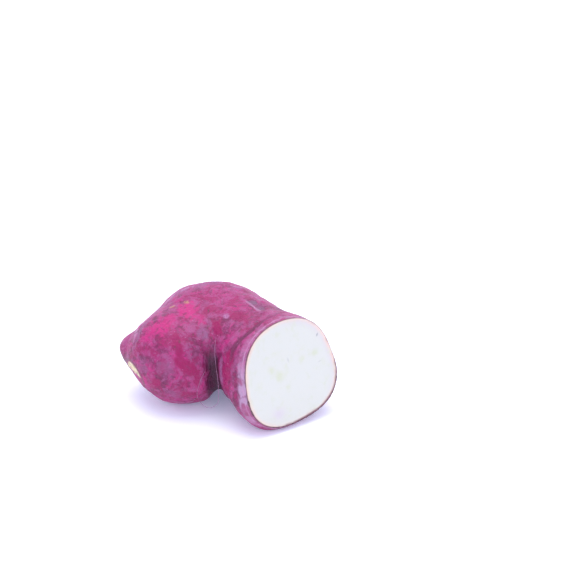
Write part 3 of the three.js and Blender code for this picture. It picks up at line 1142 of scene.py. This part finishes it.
@dataclass(frozen=True)
class Studio:
    """Plain white table, soft even light from above and behind, and the camera."""

    elevation: float = math.radians(26)
    distance: float = 1.0
    lens_mm: float = 36.0 * 1475.0 / 586.0
    aim: tuple[float, float, float] = (72.0, 134.7, 0.0)
    floor_half: float = 6.0

    def floor(self) -> bpy.types.Object:
        """Lays the table top as one large level sheet just under the root."""
        h = self.floor_half
        corners = np.array([[-h, -h, 0.0], [h, -h, 0.0], [h, h, 0.0], [-h, h, 0.0]]) - vec(0.0, 0.0, 0.00002)
        made = make_object("table_top", corners, [np.array([[0, 1, 2, 3]])])
        n = NodePainter("white_table")
        tone = n.noise(3.0, 1.0)
        n.link(n.tint((0.93, 0.93, 0.94), (0.95, 0.95, 0.95), tone), n.shader.inputs["Base Color"])
        n.fixed(Roughness=0.9, Emission_Color=(0.58, 0.68, 1.0, 1.0), Emission_Strength=0.24)
        made.data.materials.append(n.material)
        return made

    def lamp(self, name: str, at: tuple[float, float, float], size: float, watts: float,
             colour: tuple[float, float, float]) -> bpy.types.Object:
        """Hangs a square soft light that faces the root.

        Args:
            name: Name of the light.
            at: Place, in metres.
            size: Side of the light, in metres.
            watts: Power.
            colour: Colour of the light, linear.

        Returns:
            The light's object.
        """
        light = bpy.data.lights.new(name, "AREA")
        light.shape = "SQUARE"
        light.size = size
        light.energy = watts
        light.color = colour
        made = bpy.data.objects.new(name, light)
        made.location = at
        back = unit(vec(*at) - vec(0.0, 0.0, 0.03))
        right = unit(np.cross(vec(0.0, 1.0, 0.001), back))
        up = np.cross(back, right)
        made.rotation_euler = matrix_from_axes(right, up, back).to_euler()
        bpy.context.scene.collection.objects.link(made)
        return made

    def sky(self, strength: float, colour: tuple[float, float, float]) -> None:
        """Fills the room with even light of one colour."""
        world = bpy.data.worlds.new("studio_room")
        world.use_nodes = True
        world.node_tree.nodes["Background"].inputs["Color"].default_value = (*colour, 1.0)
        world.node_tree.nodes["Background"].inputs["Strength"].default_value = strength
        bpy.context.scene.world = world

    def camera(self, potato: SweetPotato) -> bpy.types.Object:
        """Sets the camera on its line of sight: level with X, looking down at the aim point."""
        lens = bpy.data.cameras.new("camera")
        lens.lens = self.lens_mm
        lens.sensor_width = 36.0
        lens.clip_end = 60.0
        made = bpy.data.objects.new("camera", lens)
        back = vec(0.0, -math.cos(self.elevation), math.sin(self.elevation))
        right = vec(1.0, 0.0, 0.0)
        up = np.cross(back, right)
        made.location = tuple(potato.place(vec(*self.aim)) + back * self.distance)
        made.rotation_euler = matrix_from_axes(right, up, back).to_euler()
        bpy.context.scene.collection.objects.link(made)
        bpy.context.scene.camera = made
        return made

    def build(self, potato: SweetPotato) -> None:
        """Sets up table, lights, camera and plain colour handling."""
        self.floor()
        self.sky(1.28, (0.74, 0.81, 1.0))
        self.lamp("top_softbox", (-0.10, 0.20, 1.30), 1.0, 8.6, (1.0, 0.97, 0.88))
        self.lamp("right_fill", (1.3, -0.55, 0.7), 0.9, 2.2, (1.0, 1.0, 1.0))
        self.camera(potato)
        bpy.context.scene.view_settings.view_transform = "Standard"
        bpy.context.scene.view_settings.look = "None"


def matrix_from_axes(right: Array, up: Array, back: Array) -> Matrix:
    """Rotation whose local X, Y and Z point right, up and back."""
    return Matrix([list(row) for row in np.stack([right, up, back], axis=1)])


def main() -> None:
    """Builds the root, its threads and dried edges, then the studio, and reports each piece."""
    logging.basicConfig(level=logging.INFO, format="%(name)s: %(message)s")
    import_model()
    low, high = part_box(NODE)
    potato = SweetPotato()
    around = potato.quality.value[3]
    coarse = potato.form.skin(26, 72, 96)
    coarse[..., 2] = np.maximum(coarse[..., 2], 0.0)
    middle = (coarse.reshape(-1, 3).min(axis=0) + coarse.reshape(-1, 3).max(axis=0)) / 2.0
    centre = (np.array(low) + np.array(high)) / 2.0 / MM
    potato.offset = vec(centre[0] - middle[0], centre[1] - middle[1], low[2] / MM)
    LOG.info("working frame sits %s mm from the row frame", potato.offset.round(2))

    root = potato.build()
    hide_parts(NODE)
    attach(root, BODY) or root
    LOG.info("%s: %d vertices", root.name, len(root.data.vertices))

    threads = (
        Rootlet("looped_rootlet", (
            (21.9, -28.7, 30.3), (19.0, -30.0, 24.5), (16.9, -28.3, 15.6), (18.1, -25.0, 8.0),
            (23.0, -27.0, 5.0), (28.5, -31.0, 10.0), (29.5, -31.5, 18.3), (29.0, -31.0, 27.7),
            (28.1, -29.0, 35.1), (27.7, -25.6, 42.2), (28.2, -22.0, 48.0),
        )),
        Rootlet("low_rootlet", (
            (0.3, -24.6, 8.9), (7.1, -24.6, 7.2), (12.3, -24.4, 7.3), (16.9, -26.2, 11.5),
        )),
    )
    for thread in threads:
        made = thread.build(potato)
        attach(made, BODY)
        LOG.info("%s: laid on the skin", made.name)

    rim = potato.form.skin(2, 2, around)[-1]
    edges = (
        DriedEdge("dried_edge_heel", -128.0, 4.0, 2.6, 5),
        DriedEdge("dried_edge_side", 196.0, 216.0, 1.1, 9),
    )
    for edge in edges:
        made = edge.build(potato, rim)
        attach(made, BODY)
        LOG.info("%s: set round the rim", made.name)

    Studio().build(potato)


if __name__ == "__main__":
    main()
